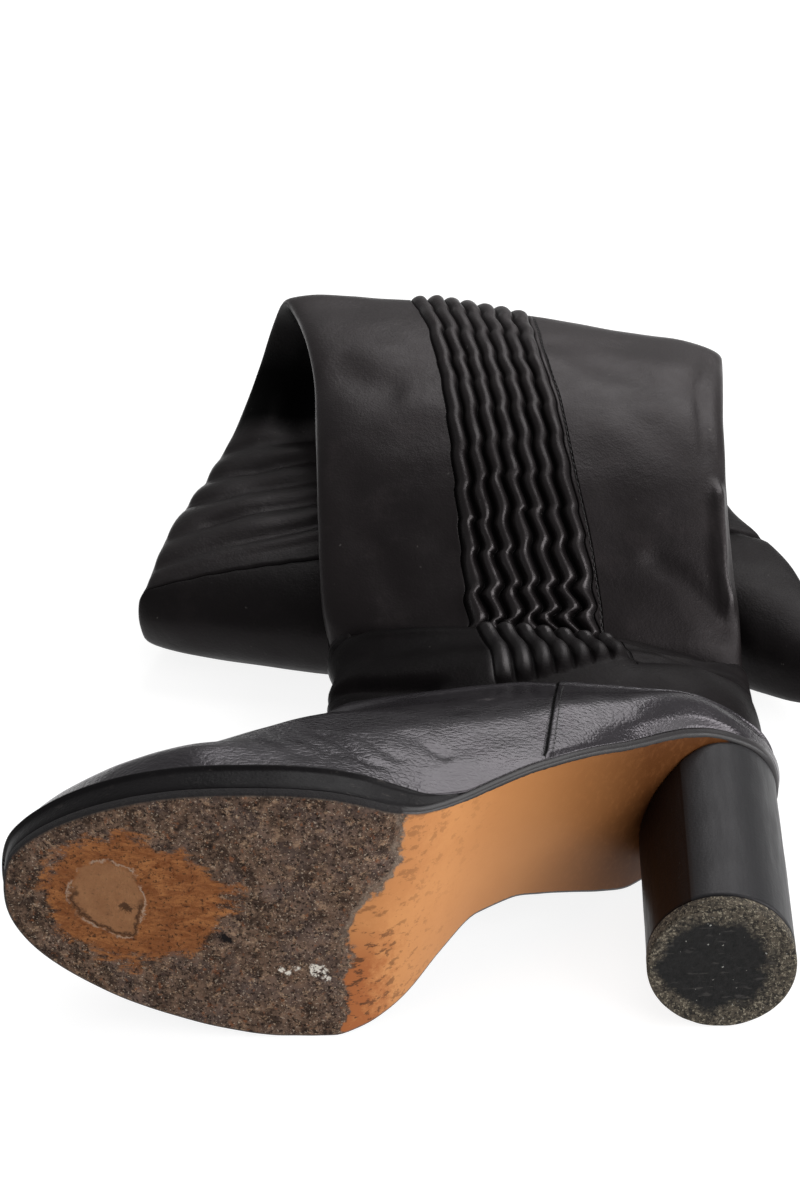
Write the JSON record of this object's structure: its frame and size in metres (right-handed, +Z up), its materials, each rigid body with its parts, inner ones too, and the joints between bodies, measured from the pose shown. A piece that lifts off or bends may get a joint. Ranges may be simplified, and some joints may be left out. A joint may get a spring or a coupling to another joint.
{
  "type": "thigh-high boot",
  "caption": "Thigh-high boot for the left foot with a covered platform, a round block heel and a ruched shaft, lying on its inner side with the slack shaft folded in a zigzag.",
  "frame": {"origin": "middle of the bounding box in X and Y, on the floor", "axes": "+Y from the sole up the shaft to the open collar, as the boot lies; +Z up from the floor; the toe points to -X and the heel is at +X. The heel's top piece and the forefoot tread stand in one upright plane that faces -Y."},
  "size_m": [0.2613, 0.404, 0.1011],
  "materials": {
    "upper_leather": "polished smooth leather with creases",
    "shaft_leather": "soft satin nappa leather",
    "platform_leather": "polished smooth leather",
    "sole_leather": "worn sole leather, dark and gritty at the forefoot, tan at the waist",
    "insole_board": "matt lining leather",
    "heel_cover": "satin covered heel",
    "top_rubber": "worn hard rubber"
  },
  "bodies": {
    "root": {"upper": "upper_leather", "ankle_section": "shaft_leather", "shaft": "shaft_leather", "shaft_fold": "shaft_leather", "shaft_return": "shaft_leather", "thigh_section": "shaft_leather", "platform": "platform_leather", "outsole": "sole_leather", "insole": "insole_board", "heel": "heel_cover", "top_piece": "top_rubber"}
  },
  "joints": []
}
